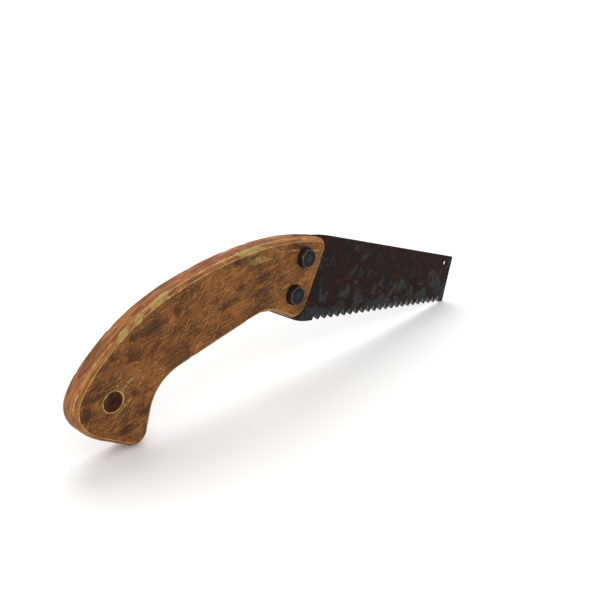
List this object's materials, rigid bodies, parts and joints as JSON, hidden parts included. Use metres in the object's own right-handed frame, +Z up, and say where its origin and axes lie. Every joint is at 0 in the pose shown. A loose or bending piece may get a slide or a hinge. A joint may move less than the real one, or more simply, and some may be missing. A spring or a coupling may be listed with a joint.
{
  "type": "folding pruning saw",
  "caption": "Folding pruning saw: an arched one-piece wooden handle with a coarse-toothed tapered steel blade that folds about the lower of its two bolts.",
  "frame": {"origin": "centre of the hang hole, midway through the handle's thickness", "axes": "+X along the saw from the hang hole towards the blade's end, +Y across it to the side of the nuts, +Z up to the handle's arched back"},
  "size_m": [0.4268, 0.0343, 0.1191],
  "materials": {
    "handle_wood": "worn varnish",
    "blade_steel": "dark rusted",
    "bolt_steel": "dark worn",
    "washer_steel": "blackened",
    "lock_washer_steel": "dull"
  },
  "bodies": {
    "handle_body": {"handle": "handle_wood", "pivot_bolt": "bolt_steel", "pivot_head_washer": "washer_steel", "pivot_nut_washer": "washer_steel", "pivot_lock_washer": "lock_washer_steel", "pivot_nut": "bolt_steel", "stop_bolt": "bolt_steel", "stop_head_washer": "washer_steel", "stop_nut_washer": "washer_steel", "stop_lock_washer": "lock_washer_steel", "stop_nut": "bolt_steel"},
    "blade_body": {"blade": "blade_steel"}
  },
  "joints": [
    {"name": "blade_fold", "type": "hinge", "parent": "handle_body", "child": "blade_body", "pos_m": [0.168, 0, 0.029], "axis": [0, 1, 0], "range_deg": [0, 144]}
  ]
}
